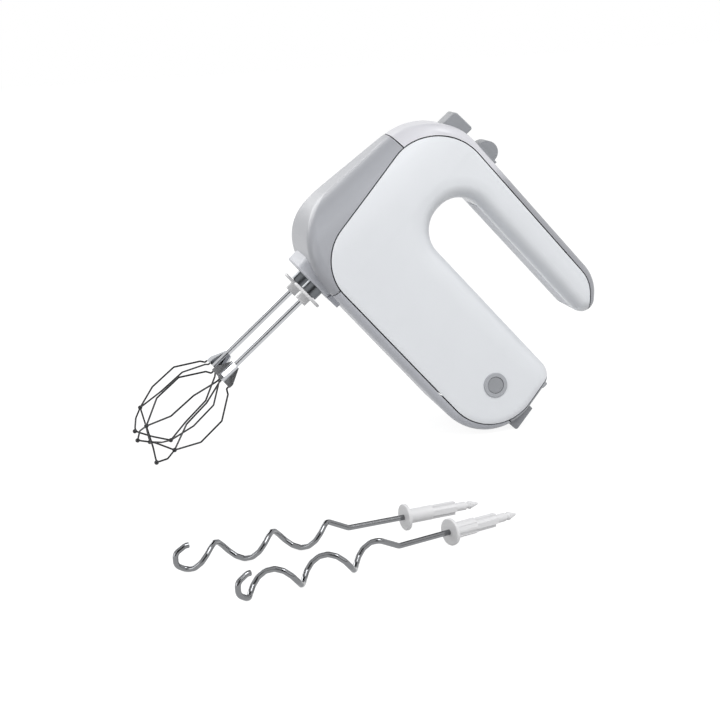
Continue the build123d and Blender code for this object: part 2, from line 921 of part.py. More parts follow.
def ejector_button():
    """The wedge that pushes the tools out."""
    side = rounded(
        [
            (eject_front, eject_foot),
            (eject_rear, eject_foot),
            (eject_rear, eject_top),
            (eject_front, eject_top - eject_slope),
        ],
        [0, 0, 2 * eject_round, 3 * eject_round],
    )
    wedge = slab(side, -eject_half_width, eject_half_width)
    return fillet(wedge.faces().sort_by(Axis.Z)[-1].edges(), eject_round)


def ejector_rod():
    """The rod under the ejector, with a crossbar and two prongs over the spindles."""
    rear_x = eject_rear + rod_overlap
    rod = brick((rear_x - rod_length, rear_x), (-rod_half_width, rod_half_width), (fork_z, eject_foot))
    reach = tool_spacing / 2 + prong_radius + prong_clear
    bar = (rear_x - rod_length, tool_x + fork_reach)
    rod += brick(bar, (-reach, reach), (fork_z, fork_z + fork_height))
    for y in tool_y.values():
        rod += post(tool_x, y, prong_radius, shank_top + eject_travel + prong_clear, fork_z)
    return rod


def control_board():
    """The circuit board in the handle, on four posts."""
    floor = handle_foot + wall
    low = floor + board_rise
    high = low + board_thickness
    board = brick((board_x, board_x + board_length), (-board_half, board_half), (low, high))
    for x in (board_x + board_post_inset, board_x + board_length - board_post_inset):
        for y in (-board_half + board_post_inset, board_half - board_post_inset):
            board += post(x, y, board_post_radius, floor, low)
    for x, size in zip(chip_x, chip_size):
        board += brick((board_x + x, board_x + x + size), (-size / 2, size / 2), (high, high + size))
    return board


def switch_block():
    """The speed switch on the board, below the slider."""
    low = handle_foot + wall + board_rise + board_thickness
    high = roof(board_x + switch_length) - wall - switch_clear
    across = (-switch_half_width, switch_half_width)
    block = brick((board_x, board_x + switch_length), across, (low, high))
    return fillet(block.edges().filter_by(Axis.Z), switch_corner)


def release_bezel(side):
    """The ring round a release button."""
    plane = side_plane(side, button_x, button_z)
    ring = stub(plane, bezel_radius, 0, bezel_rise)
    rims = ring.edges().filter_by(GeomType.CIRCLE).sort_by(Axis.Y)
    ring = fillet(rims[0] if side == "left" else rims[-1], bezel_round)
    return ring - stub(plane, button_radius + running_gap, -wall, wall)


def release_button(side):
    """A round push button that lets go of what sits in the rear port."""
    plane = side_plane(side, button_x, button_z)
    cap = stub(plane, button_radius, -wall - button_depth, button_rise)
    foot_top = -wall - running_gap
    foot = stub(plane, button_radius + button_foot, foot_top - button_foot_plate, foot_top)
    return cap + foot + stub(plane, button_stem_radius, -wall - button_stem, -wall - button_depth)


def port_socket():
    """The round socket of the rear drive port, on its own foot."""
    tube = axle(port_radius + port_wall, shaft_rear + port_start, pod_length)
    length = (shaft_rear + port_foot[0], shaft_rear + port_foot[1])
    foot = brick(length, (-port_foot_half, port_foot_half), (0, axle_z))
    return ((tube + foot) & inner_block) - axle(port_radius, 0, far * 2)


def collar_screws():
    """Two screws that hold the collar to the gear case."""
    screws = []
    for x in screw_x:
        neck = -collar_drop + screw_sink + screw_head / 2
        head = post(x, 0, screw_head, -collar_drop + screw_sink, neck)
        screws.append(head + post(x, 0, screw_head / 2, neck, collar_rise + case_plate))
    return Compound(screws)


# Tools
def tool_hub(flange_radius, ribs):
    """A tool's white shank: flange, boss, four driving wings, stem and pointed tip."""
    hub = post(0, 0, flange_radius, flange_top - flange_thickness, flange_top)
    hub = fillet(hub.edges().filter_by(GeomType.CIRCLE), flange_thickness / 3)
    hub += post(0, 0, boss_radius, flange_top, boss_top)
    rib = brick((0, boss_radius + rib_rise), (-rib_width / 2, rib_width / 2), (flange_top, boss_top))
    for i in range(ribs):
        hub += Rot(0, 0, 360 * i / ribs) * rib
    hub += post(0, 0, wing_core, boss_top, wing_top)
    for turn in (0, 90):
        hub += Rot(0, 0, turn) * wing_pair(0, wing_top)
    hub += post(0, 0, stem_radius, wing_top, stem_top)
    hub += post(0, 0, neck_radius, stem_top, neck_top)
    tip = make_face(Polyline(
        (0, neck_top),
        (neck_radius, neck_top),
        (stem_radius, tip_widest),
        (tip_round, shank_top),
        (0, shank_top),
        close=True,
    ))
    return hub + revolve(Plane.XZ * tip, Axis.Z)


def whisk_hub(side):
    """The shank of one whisk, with a short nose below its flange, bored for the steel rod."""
    hub = tool_hub(whisk_flange_radius, 0 if side == "left" else boss_ribs)
    nose_top = flange_top - flange_thickness
    hub += post(0, 0, hub_radius, nose_top - hub_drop, nose_top)
    return hub - whisk_rod()


def whisk_rod():
    """The steel rod of a whisk, from the hub to the spreader."""
    return post(0, 0, rod_radius, whisk_rod_end, flange_top)


def whisk_spreader():
    """The four-finned foot of the rod, which holds the wires."""
    top = fin_foot + spreader_height
    waist = rod_radius + spreader_wall
    core = post(0, 0, waist, fin_foot, top)
    fin = make_face(Polyline(
        (0, fin_foot),
        (fin_reach, fin_foot),
        (fin_reach, fin_foot + fin_lip),
        (waist + fit, top),
        (0, top),
        close=True,
    ))
    blade = slab(fin, -fin_thickness / 2, fin_thickness / 2)
    for i in range(whisk_fins):
        core += Rot(0, 0, 360 * i / whisk_fins) * blade
    return core - post(0, 0, rod_radius, whisk_rod_end, 0)


def cage_leg(fin, turn, bead):
    """One bent wire: from a fin out to the belly while it turns, and down to a bead."""
    root = fin_reach - leg_inset
    points = [
        polar(root, fin, fin_foot),
        polar(root, fin, fin_foot - leg_drop),
        polar(root + leg_flare, fin, fin_foot - 2 * leg_drop),
        polar(cage_shoulder_radius, fin + turn * shoulder_share, cage_shoulder_z),
        polar(cage_belly_radius, fin + turn, cage_belly_z),
        polar(cage_bead_radius, bead, cage_bead_z),
    ]
    return wire_along(points, leg_bend, wire_radius)


def cage_arc(bead):
    """The bottom wire from one bead to the opposite one, through its lowest point."""
    side_radius = cage_foot_radius + arc_bulge
    rest = 180 - foot_turn
    points = [
        polar(cage_bead_radius, bead, cage_bead_z),
        polar(side_radius, bead + foot_turn / 2, cage_foot_z + arc_rise),
        polar(cage_foot_radius, bead + foot_turn, cage_foot_z),
        polar(side_radius, bead + foot_turn + rest / 2, cage_foot_z + arc_rise),
        polar(cage_bead_radius, bead + 180, cage_bead_z),
    ]
    return wire_along(points, arc_bend, wire_radius)


def cage_bead(radius, degrees, z):
    """A bead where wires meet, with its own seam turned outward."""
    return Pos(*polar(radius, degrees, z)) * Rot(0, 0, degrees) * Sphere(bead_radius)


def whisk_cage():
    """The wires of a whisk: a leg from each fin, in pairs that meet at a bead, and two arcs below."""
    step = 360 / whisk_fins
    pieces = []
    for i in range(whisk_fins):
        side = 1 if i % 2 == 0 else -1
        pieces.append(cage_leg(i * step, side * leg_turn, i * step + side * step / 2))
    for bead in (step / 2, step / 2 + 180):
        pieces.append(cage_arc(bead))
        pieces.append(cage_bead(cage_bead_radius, bead, cage_bead_z))
        pieces.append(cage_bead(cage_foot_radius, bead + foot_turn, cage_foot_z))
    return pieces[0].fuse(*pieces[1:])


def hook_points(sign):
    """The run of a dough hook: out of the hub, round a helix, then half a ring back over the end."""
    neck_end = flange_top - flange_thickness - hook_neck
    first = neck_end - hook_lead_in
    steps = round(hook_turns * hook_steps)
    points = [(0, 0, flange_top), (0, 0, neck_end)]
    for i in range(steps + 1):
        angle = sign * 360 * (i - steps) / hook_steps
        points.append(polar(hook_radius, angle, first - hook_pitch * i / hook_steps))
    end = points[-1][2]
    middle = hook_radius - curl_radius
    for turn in (60, 120, 180):
        angle = math.radians(turn)
        points.append((middle + curl_radius * math.cos(angle), 0, end - curl_radius * math.sin(angle)))
    points.append((middle - curl_radius, 0, end + curl_tail))
    return points


def hook_rod(sign):
    """The wound steel rod of a dough hook."""
    return wire_along(hook_points(sign), hook_bend, hook_rod_radius)


def hook_hub(ribs):
    """The shank of a dough hook, bored for its rod."""
    return tool_hub(hook_flange_radius, ribs) - post(0, 0, hook_rod_radius, -far, flange_top)


# Stance
def round_corner(before, corner, after, radius):
    """Centre of the arc that rounds a corner."""
    sides = []
    for end in (before, after):
        run = math.dist(end, corner)
        sides.append(((end[0] - corner[0]) / run, (end[1] - corner[1]) / run))
    middle = (sides[0][0] + sides[1][0], sides[0][1] + sides[1][1])
    size = math.hypot(*middle)
    half_turn = math.acos(sides[0][0] * sides[1][0] + sides[0][1] * sides[1][1]) / 2
    out = radius / math.sin(half_turn)
    return (corner[0] + middle[0] / size * out, corner[1] + middle[1] / size * out)


# The mixer leans so far that the lowest beads of both whisks and the tips of the heel share one level.
foot_x = tool_x + cage_foot_radius * math.cos(math.pi / whisk_fins)
heel_x, heel_z = round_corner(*heel_corners()[1:4], heel_tip)
reach_x = heel_x - foot_x
reach_z = heel_z - cage_foot_z
lean = math.atan2(reach_z, reach_x) + math.asin((bead_radius - heel_tip) / math.hypot(reach_x, reach_z))
lift = foot_x * math.sin(lean) - cage_foot_z * math.cos(lean) + bead_radius
stance = Pos(0, 0, lift) * Rot(0, math.degrees(lean), 0)


def hook_place(number):
    """Where a dough hook lies on the table, on its flange and its coils."""
    spot = Pos(hook_x[number], hook_y[number], hook_flange_radius)
    return spot * Rot(0, 0, hook_yaw[number]) * Rot(0, 90, 0)


nodes = {}
for side in ("left", "right"):
    nodes["side_panel_" + side] = side_panel(side)
    nodes["heel_foot_" + side] = heel_foot(side)
    nodes["spindle_bush_" + side] = spindle_bush(side)
    nodes["worm_wheel_" + side] = worm_wheel(side)
    nodes["spindle_" + side] = spindle(side)
    nodes["release_bezel_" + side] = release_bezel(side)
    nodes["release_button_" + side] = release_button(side)
nodes["front_cover"] = front_cover()
nodes["top_strip"] = top_strip()
nodes["handle_liner"] = handle_liner()
nodes["base_rail"] = base_rail()
nodes["rear_frame"] = rear_frame()
nodes["tool_collar"] = tool_collar()
nodes["collar_screws"] = collar_screws()
nodes["port_flap"] = port_flap()
nodes["flap_pin"] = flap_pin()
nodes["port_socket"] = port_socket()
nodes["gear_case"] = gear_case()
nodes["front_bearing"] = shaft_bearing(case_rear - case_plate)
nodes["rear_bearing"] = shaft_bearing(bracket_x)
nodes["rear_bracket"] = rear_bracket()
nodes["stator_core"] = stator_core()
nodes["field_coils"] = field_coils()
nodes["motor_pads"] = motor_pads()
nodes["brush_holders"] = brush_holders()
nodes["carbon_brushes"] = carbon_brushes()
nodes["motor_shaft"] = motor_shaft()
nodes["armature_core"] = armature_core()
nodes["armature_windings"] = armature_windings()
nodes["commutator"] = commutator()
nodes["cooling_fan"] = cooling_fan()
nodes["rear_coupling"] = rear_coupling()
nodes["speed_knob"] = speed_knob()
nodes["ejector_button"] = ejector_button()
nodes["ejector_rod"] = ejector_rod()
nodes["control_board"] = control_board()
nodes["switch_block"] = switch_block()

# One whisk is the mirror image of the other.
turned = Rot(0, 0, whisk_turn)
whisk = {"rod": whisk_rod(), "spreader": turned * whisk_spreader(), "wires": turned * whisk_cage()}
for side, y in tool_y.items():
    nodes["whisk_%s_hub" % side] = Pos(tool_x, y, 0) * whisk_hub(side)
    for name, piece in whisk.items():
        shown = piece if side == "left" else mirror(piece, about=Plane.XZ)
        nodes["whisk_%s_%s" % (side, name)] = Pos(tool_x, y, 0) * shown

placed = {name: stance * piece for name, piece in nodes.items()}
for number, sign in enumerate((1, -1)):
    side = ("left", "right")[number]
    placed["dough_hook_%s_hub" % side] = hook_place(number) * hook_hub(boss_ribs * number)
    placed["dough_hook_%s_rod" % side] = hook_place(number) * hook_rod(sign)

# The origin is under the middle of everything, on the table.
boxes = [piece.bounding_box() for piece in placed.values()]
middle_x = (min(box.min.X for box in boxes) + max(box.max.X for box in boxes)) / 2
middle_y = (min(box.min.Y for box in boxes) + max(box.max.Y for box in boxes)) / 2
for name, piece in placed.items():
    export_step(Pos(-middle_x, -middle_y, 0) * piece, "parts/%s.step" % name)
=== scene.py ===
import math

import bpy
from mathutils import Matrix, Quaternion, Vector


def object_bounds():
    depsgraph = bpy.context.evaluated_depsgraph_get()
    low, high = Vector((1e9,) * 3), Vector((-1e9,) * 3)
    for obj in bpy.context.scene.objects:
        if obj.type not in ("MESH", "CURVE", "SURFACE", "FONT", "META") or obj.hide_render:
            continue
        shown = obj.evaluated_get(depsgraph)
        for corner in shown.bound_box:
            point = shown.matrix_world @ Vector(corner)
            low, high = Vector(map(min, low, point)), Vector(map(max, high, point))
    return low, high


bl_info = {
    "name": "Hand mixer dressing",
    "version": (1, 0, 0),
    "blender": (4, 5, 0),
    "location": "View3D > Sidebar > Mixer",
    "description": "Gives a hand mixer and its tools their finishes, and sets a pale table under them",
    "category": "Object",
}

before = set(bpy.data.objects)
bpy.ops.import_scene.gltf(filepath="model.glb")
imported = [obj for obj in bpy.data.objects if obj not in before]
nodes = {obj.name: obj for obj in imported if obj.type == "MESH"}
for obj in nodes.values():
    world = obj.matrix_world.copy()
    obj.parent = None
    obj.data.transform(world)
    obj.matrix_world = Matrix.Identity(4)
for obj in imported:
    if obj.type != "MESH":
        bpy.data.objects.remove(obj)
cad_low, cad_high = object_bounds()

WHITE = (1.0, 1.0, 1.0, 1.0)

# How the mixer stands: its lean in radians, then how high its own origin lies and how far left, in metres
LEAN = 0.87183
LIFT = 0.13786
MIDDLE = 0.05611

# The finger gap on the mixer, in metres: where its round end is centred, and half its height
GAP_END = 0.080
GAP_MIDDLE = 0.0885
GAP_HALF = 0.020

# How wide the panel seems to roll into the gap, in metres, and how steep it gets
GAP_ROLL = 0.015
GAP_SLOPE = 0.5

# Where the nose starts to narrow, how steep that start is, and how wide the blend over it is
NOSE_START = 0.0512
NOSE_SLOPE = 0.04
NOSE_BLEND = 0.010

# Where along the mixer the strip turns darker, and its grey from there on: painted shade, where the strip
# turns away from the light along the grip
GRIP_START = 0.062
GRIP_FULL = 0.084
GRIP_SHADE_GREY = (0.33, 0.335, 0.36, 1.0)

# Scales of a plastic's pebble: a larger one is finer
CARBON_PEBBLE = 2000.0
FINE_PEBBLE = 1500.0
CONTROL_PEBBLE = 1400.0
HEEL_PEBBLE = 1200.0
COARSE_PEBBLE = 900.0
BOARD_PEBBLE = 600.0

# Plastic: scale and shade of its cloud, what cloud and pebble do to its roughness, the pebble's bump
PLASTIC_CLOUD = 26.0
PLASTIC_SHADE = 0.025
CLOUD_ROUGHNESS = 0.05
PEBBLE_ROUGHNESS = 0.16
PEBBLE_STRENGTH = 0.05
PEBBLE_DEPTH = 0.00012

# Scales of a metal's draw marks in each direction: they run along the smallest
TOOL_MARKS = (300.0, 300.0, 30.0)
SPINDLE_MARKS = (900.0, 900.0, 90.0)
TURNED_MARKS = (90.0, 900.0, 900.0)
SHEET_MARKS = (2000.0, 40.0, 40.0)
WINDING_MARKS = (1500.0, 300.0, 300.0)
BUSH_MARKS = (900.0, 900.0, 900.0)

# Metal: scale and shade of its cloud, what the marks do to its roughness, the marks' bump
METAL_CLOUD = 60.0
METAL_SHADE = 0.06
MARK_ROUGHNESS = 0.12
MARK_STRENGTH = 0.015
MARK_DEPTH = 0.00005

# The table: its grey for the light on the mixer, its grey and glow where it is seen, and half its width
TABLE_DULL = (0.45, 0.45, 0.45, 1.0)
TABLE_PALE = (0.9, 0.9, 0.9, 1.0)
GLOW_STRENGTH = 1.16
GLOW_SHARE = 0.78
TABLE_REACH = 6.0

# Strength of the sky: as a light on the mixer, and where it is seen
SKY_LIGHT = 0.52
SKY_SEEN = 1.0


# Sockets and nodes


class Value:
    """A number from a node's socket. Expressions on it add Math nodes."""

    def __init__(self, graph, socket):
        self.graph = graph
        self.socket = socket

    def __add__(self, other):
        return self.graph.maths("ADD", self, other)

    def __radd__(self, other):
        return self.graph.maths("ADD", other, self)

    def __sub__(self, other):
        return self.graph.maths("SUBTRACT", self, other)

    def __rsub__(self, other):
        return self.graph.maths("SUBTRACT", other, self)

    def __mul__(self, other):
        return self.graph.maths("MULTIPLY", self, other)

    def __rmul__(self, other):
        return self.graph.maths("MULTIPLY", other, self)

    def __truediv__(self, other):
        return self.graph.maths("DIVIDE", self, other)

    def __rtruediv__(self, other):
        return self.graph.maths("DIVIDE", other, self)

    def __pow__(self, other):
        return self.graph.maths("POWER", self, other)

    def __rpow__(self, other):
        return self.graph.maths("POWER", other, self)


class Graph:
    """The node tree of one finish."""

    def __init__(self, tree):
        tree.nodes.clear()
        self.tree = tree

    def node(self, kind, settings=None, sockets=None):
        """One node: its settings first, then the values or links of its sockets."""
        made = self.tree.nodes.new(kind)
        for name, value in (settings or {}).items():
            setattr(made, name, value)
        for name, value in (sockets or {}).items():
            socket = made.inputs[name]
            if isinstance(value, Value):
                self.tree.links.new(value.socket, socket)
            elif isinstance(value, bpy.types.NodeSocket):
                self.tree.links.new(value, socket)
            else:
                socket.default_value = value
        return made

    def maths(self, operation, first, second):
        """A Math node on two numbers or values."""
        made = self.node("ShaderNodeMath", {"operation": operation}, {0: first, 1: second})
        return Value(self, made.outputs[0])

    def place(self):
        """Where a point is on its piece, in metres."""
        return self.node("ShaderNodeTexCoord").outputs["Object"]

    def stretched(self, scale):
        """The same place, with each direction scaled."""
        made = self.node("ShaderNodeMapping", None, {"Vector": self.place(), "Scale": scale})
        return made.outputs["Vector"]

    def on_mixer(self):
        """The same place along the mixer and up from its base, as two values in metres."""
        parts = self.node("ShaderNodeSeparateXYZ", None, {0: self.place()}).outputs
        across = Value(self, parts["X"]) + MIDDLE
        rise = Value(self, parts["Z"]) - LIFT
        along = across * math.cos(LEAN) - rise * math.sin(LEAN)
        return along, across * math.sin(LEAN) + rise * math.cos(LEAN)

    def step(self, value, low, high):
        """0 under the low end, 1 over the high end, smooth between."""
        made = self.node(
            "ShaderNodeMapRange",
            {"interpolation_type": "SMOOTHSTEP"},
            {"Value": value, "From Min": low, "From Max": high},
        )
        return Value(self, made.outputs["Result"])

    def noise(self, place, scale, detail=2.0):
        """Soft noise between 0 and 1."""
        made = self.node("ShaderNodeTexNoise", None, {"Vector": place, "Scale": scale, "Detail": detail})
        return Value(self, made.outputs["Fac"])

    def bump(self, strength, distance, height, normal=None):
        """The normal that a height gives, over another normal if there is one."""
        sockets = {"Strength": strength, "Distance": distance, "Height": height}
        if normal is not None:
            sockets["Normal"] = normal
        return self.node("ShaderNodeBump", None, sockets).outputs["Normal"]

    def blend(self, factor, first, second):
        """A colour between two colours."""
        made = self.node(
            "ShaderNodeMix", {"data_type": "RGBA"}, {"Factor": factor, "A": first, "B": second}
        )
        return made.outputs["Result"]


def opaque(colour, share):
    """A colour with full alpha, lightened or darkened by a share."""
    return (*(min(1.0, part * share) for part in colour), 1.0)


def finish_material(name, make):
    """A material whose surface is what the function returns."""
    material = bpy.data.materials.new(name)
    material.use_nodes = True
    graph = Graph(material.node_tree)
    graph.node("ShaderNodeOutputMaterial", None, {"Surface": make(graph)})
    return material


def both(name, ending=""):
    """The left and the right node of a pair."""
    return [name + side + ending for side in ("_left", "_right")]


def dress(names, material):
    """Puts a finish on nodes of the model."""
    for name in names:
        slots = nodes[name].data.materials
        slots.clear()
        slots.append(material)


# Finishes


def panel_roll(graph):
    """Bump of the panel: it seems to roll into the finger gap, and it runs smoothly over to the nose."""
    along, up = graph.on_mixer()
    before_end = graph.maths("MINIMUM", along - GAP_END, 0.0)
    aside = up - GAP_MIDDLE
    from_gap = (before_end * before_end + aside * aside) ** 0.5 - GAP_HALF
    in_roll = graph.maths("MAXIMUM", GAP_ROLL - from_gap, 0.0)
    in_nose = graph.maths("MAXIMUM", NOSE_START - along, 0.0)
    in_nose = graph.maths("MINIMUM", in_nose, NOSE_BLEND)
    nose_fill = (in_nose - in_nose * in_nose / (2 * NOSE_BLEND)) * NOSE_SLOPE
    return nose_fill - in_roll * in_roll * (GAP_SLOPE / (2 * GAP_ROLL))


def grip_painted_shade(graph, shade):
    """A colour that turns to a darker grey along the grip: painted shade where the strip turns away from
    the light.
    """
    along, _ = graph.on_mixer()
    return graph.blend(graph.step(along, GRIP_START, GRIP_FULL), shade, GRIP_SHADE_GREY)


def shaded(colour, share):
    """A colour lightened or darkened by a share."""
    return opaque(colour, share)[:3]


def moulded(name, colour, pebble_scale, roughness, coat=0.0, form=None, tint=None):
    """Moulded plastic: faintly cloudy and pebbled, with a form of its own or a tint where it has one."""

    def make(graph):
        place = graph.place()
        cloud = graph.noise(place, PLASTIC_CLOUD)
        pebble = graph.noise(place, pebble_scale, detail=3.0)
        shade = graph.blend(cloud, opaque(colour, 1 - PLASTIC_SHADE), opaque(colour, 1 + PLASTIC_SHADE))
        if tint:
            shade = tint(graph, shade)
        gloss = roughness + (pebble - 0.5) * PEBBLE_ROUGHNESS + (cloud - 0.5) * CLOUD_ROUGHNESS
        normal = graph.bump(1.0, 1.0, form(graph)) if form else None
        surface = graph.node(
            "ShaderNodeBsdfPrincipled",
            None,
            {
                "Base Color": shade,
                "Roughness": gloss,
                "Coat Weight": coat,
                "Coat Roughness": 0.12,
                "Normal": graph.bump(PEBBLE_STRENGTH, PEBBLE_DEPTH, pebble, normal),
            },
        )
        return surface.outputs["BSDF"]

    return finish_material(name, make)


def drawn_metal(name, colour, mark_scales, roughness):
    """Metal, faintly cloudy, with draw marks along the direction of the smallest scale."""

    def make(graph):
        marks = graph.noise(graph.stretched(mark_scales), 1.0, detail=3.0)
        cloud = graph.noise(graph.place(), METAL_CLOUD)
        shade = graph.blend(cloud, opaque(colour, 1 - METAL_SHADE), opaque(colour, 1 + METAL_SHADE))
        surface = graph.node(
            "ShaderNodeBsdfPrincipled",
            None,
            {
                "Base Color": shade,
                "Metallic": 1.0,
                "Roughness": roughness + (marks - 0.5) * MARK_ROUGHNESS,
                "Normal": graph.bump(MARK_STRENGTH, MARK_DEPTH, marks),
            },
        )
        return surface.outputs["BSDF"]

    return finish_material(name, make)


class MixerFinishes(bpy.types.PropertyGroup):
    """Colours of the mixer's finishes."""

    shell: bpy.props.FloatVectorProperty(
        name="Shell",
        description="White of the side panels",
        subtype="COLOR",
        default=(0.76, 0.78, 0.81),
    )
    cover: bpy.props.FloatVectorProperty(
        name="Cover",
        description="Grey of the front cover, collar, rail and rear wall",
        subtype="COLOR",
        default=(0.375, 0.385, 0.415),
    )
    strip: bpy.props.FloatVectorProperty(
        name="Strip",
        description="Pale grey of the strip over the brow and the handle",
        subtype="COLOR",
        default=(0.66, 0.66, 0.70),
    )
    liner: bpy.props.FloatVectorProperty(
        name="Liner",
        description="Grey of the channel under the grip",
        subtype="COLOR",
        default=(0.76, 0.77, 0.80),
    )
    control: bpy.props.FloatVectorProperty(
        name="Controls",
        description="Grey of the ejector, the speed slider and the release buttons",
        subtype="COLOR",
        default=(0.30, 0.31, 0.33),
    )
    heel: bpy.props.FloatVectorProperty(
        name="Heels",
        description="Grey of the two heels",
        subtype="COLOR",
        default=(0.28, 0.29, 0.31),
    )
    shank: bpy.props.FloatVectorProperty(
        name="Shanks",
        description="White of the tools' shanks and flanges",
        subtype="COLOR",
        default=(0.72, 0.72, 0.73),
    )
    steel: bpy.props.FloatVectorProperty(
        name="Steel",
        description="Polished steel of the wires and rods",
        subtype="COLOR",
        default=(0.52, 0.53, 0.55),
    )


class MixerStage(bpy.types.PropertyGroup):
    """Where the camera stands and how it is aimed."""

    azimuth: bpy.props.FloatProperty(
        name="Azimuth",
        description="Camera's angle round the mixer",
        subtype="ANGLE",
        default=math.radians(-10.0),
    )
    elevation: bpy.props.FloatProperty(
        name="Elevation",
        description="Camera's angle over the table",
        subtype="ANGLE",
        default=math.radians(9.5),
    )
    roll: bpy.props.FloatProperty(
        name="Roll",
        description="Tilt of the picture",
        subtype="ANGLE",
        default=math.radians(3.352),
    )
    distance: bpy.props.FloatProperty(
        name="Distance",
        description="From the camera to the mixer",
        unit="LENGTH",
        default=1.2,
    )
    lens: bpy.props.FloatProperty(
        name="Lens",
        description="Focal length in millimetres",
        default=91.58,
    )
    target: bpy.props.FloatVectorProperty(
        name="Target",
        description="Point near the middle of the mixer",
        subtype="XYZ",
        default=(-0.0034, 0.1389, 0.0907),
    )
    offset: bpy.props.FloatVectorProperty(
        name="Offset",
        description="How far the picture's middle lies right of and above the target",
        size=2,
        default=(0.0034, -0.0402),
    )


class DressShell(bpy.types.Operator):
    """Finish the two white side panels"""

    bl_idname = "mixer.dress_shell"
    bl_label = "Side panels"

    def execute(self, context):
        look = context.scene.mixer_finishes
        white = moulded("shell_white", look.shell, FINE_PEBBLE, roughness=0.34, coat=0.15, form=panel_roll)
        dress(both("side_panel"), white)
        return {"FINISHED"}


class DressCovers(bpy.types.Operator):
    """Finish the grey pieces round the panels"""

    bl_idname = "mixer.dress_covers"
    bl_label = "Covers"

    def execute(self, context):
        look = context.scene.mixer_finishes
        grey = moulded("cover_grey", look.cover, FINE_PEBBLE, roughness=0.38, coat=0.1)
        dress(["front_cover", "rear_frame", "port_flap"], grey)
        # Painted light: the rail and the collar are the cover's grey, lightened where they face away from
        # the lamps
        rail = moulded("rail_grey_painted_light", shaded(look.cover, 1.45), FINE_PEBBLE, roughness=0.4)
        dress(["base_rail"], rail)
        collar = moulded("collar_grey_painted_light", shaded(look.cover, 1.5), FINE_PEBBLE, roughness=0.42)
        dress(["tool_collar"], collar)
        # The pale strip gets painted shade along the grip
        pale = moulded("strip_pale", look.strip, FINE_PEBBLE, roughness=0.36, coat=0.1, tint=grip_painted_shade)
        dress(["top_strip"], pale)
        soft = moulded("liner_soft", look.liner, COARSE_PEBBLE, roughness=0.55)
        dress(["handle_liner"], soft)
        heel = moulded("heel_grey", look.heel, HEEL_PEBBLE, roughness=0.45)
        dress(both("heel_foot"), heel)
        return {"FINISHED"}


class DressControls(bpy.types.Operator):
    """Finish the ejector, the speed slider and the release buttons"""

    bl_idname = "mixer.dress_controls"
    bl_label = "Controls"

    def execute(self, context):
        look = context.scene.mixer_finishes
        grey = moulded("control_grey", look.control, CONTROL_PEBBLE, roughness=0.42)
        dress(["ejector_button", "speed_knob", *both("release_button")], grey)
        ring = moulded("ring_grey", shaded(look.control, 1.3), CONTROL_PEBBLE, roughness=0.4)
        dress(both("release_bezel"), ring)
        return {"FINISHED"}


class DressTools(bpy.types.Operator):
    """Finish the whisks, the dough hooks and the spindles that hold them"""

    bl_idname = "mixer.dress_tools"
    bl_label = "Tools"

    def execute(self, context):
        look = context.scene.mixer_finishes
        shank = moulded("shank_white", look.shank, FINE_PEBBLE, roughness=0.4)
        dress(both("whisk", "_hub") + both("dough_hook", "_hub"), shank)
        rod = drawn_metal("rod_steel", look.steel, TOOL_MARKS, roughness=0.12)
        dress(both("whisk", "_rod") + both("whisk", "_spreader"), rod)
        # Painted dark reflection: the hooks and the wires are the rods' steel, darkened to stand in for
        # the dark surroundings they reflect
        hook = drawn_metal("hook_steel_painted_dark", shaded(look.steel, 0.42), TOOL_MARKS, roughness=0.16)
        dress(both("dough_hook", "_rod"), hook)
        wire = drawn_metal("wire_steel_painted_dark", shaded(look.steel, 0.09), TOOL_MARKS, roughness=0.2)
        dress(both("whisk", "_wires"), wire)
        dark = drawn_metal("spindle_dark", (0.16, 0.17, 0.18), SPINDLE_MARKS, roughness=0.3)
        dress(both("spindle"), dark)
        return {"FINISHED"}


class DressWorks(bpy.types.Operator):
    """Finish the motor, the gears and the other pieces inside"""

    bl_idname = "mixer.dress_works"
    bl_label = "Works"

    def execute(self, context):
        black = moulded("inner_black", (0.03, 0.03, 0.032), COARSE_PEBBLE, roughness=0.5)
        dress(["gear_case", "rear_bracket", "brush_holders", "port_socket", "switch_block"], black)
        dress(["ejector_rod", "cooling_fan", "rear_coupling"], black)
        cream = moulded("gear_cream", (0.75, 0.70, 0.58), COARSE_PEBBLE, roughness=0.45)
        dress(both("worm_wheel"), cream)
        turned = drawn_metal("steel_turned", (0.5, 0.5, 0.51), TURNED_MARKS, roughness=0.28)
        dress(["collar_screws", "flap_pin", "motor_shaft", "front_bearing", "rear_bearing"], turned)
        iron = drawn_metal("iron_sheet", (0.2, 0.2, 0.21), SHEET_MARKS, roughness=0.5)
        dress(["stator_core", "armature_core"], iron)
        copper = drawn_metal("copper_wire", (0.55, 0.26, 0.12), WINDING_MARKS, roughness=0.35)
        dress(["field_coils", "armature_windings", "commutator"], copper)
        bronze = drawn_metal("bronze", (0.5, 0.34, 0.14), BUSH_MARKS, roughness=0.4)
        dress(both("spindle_bush"), bronze)
        carbon = moulded("carbon", (0.012, 0.012, 0.012), CARBON_PEBBLE, roughness=0.6)
        dress(["carbon_brushes"], carbon)
        rubber = moulded("pad_rubber", (0.015, 0.015, 0.015), COARSE_PEBBLE, roughness=0.75)
        dress(["motor_pads"], rubber)
        green = moulded("board_green", (0.02, 0.09, 0.035), BOARD_PEBBLE, roughness=0.4)
        dress(["control_board"], green)
        return {"FINISHED"}


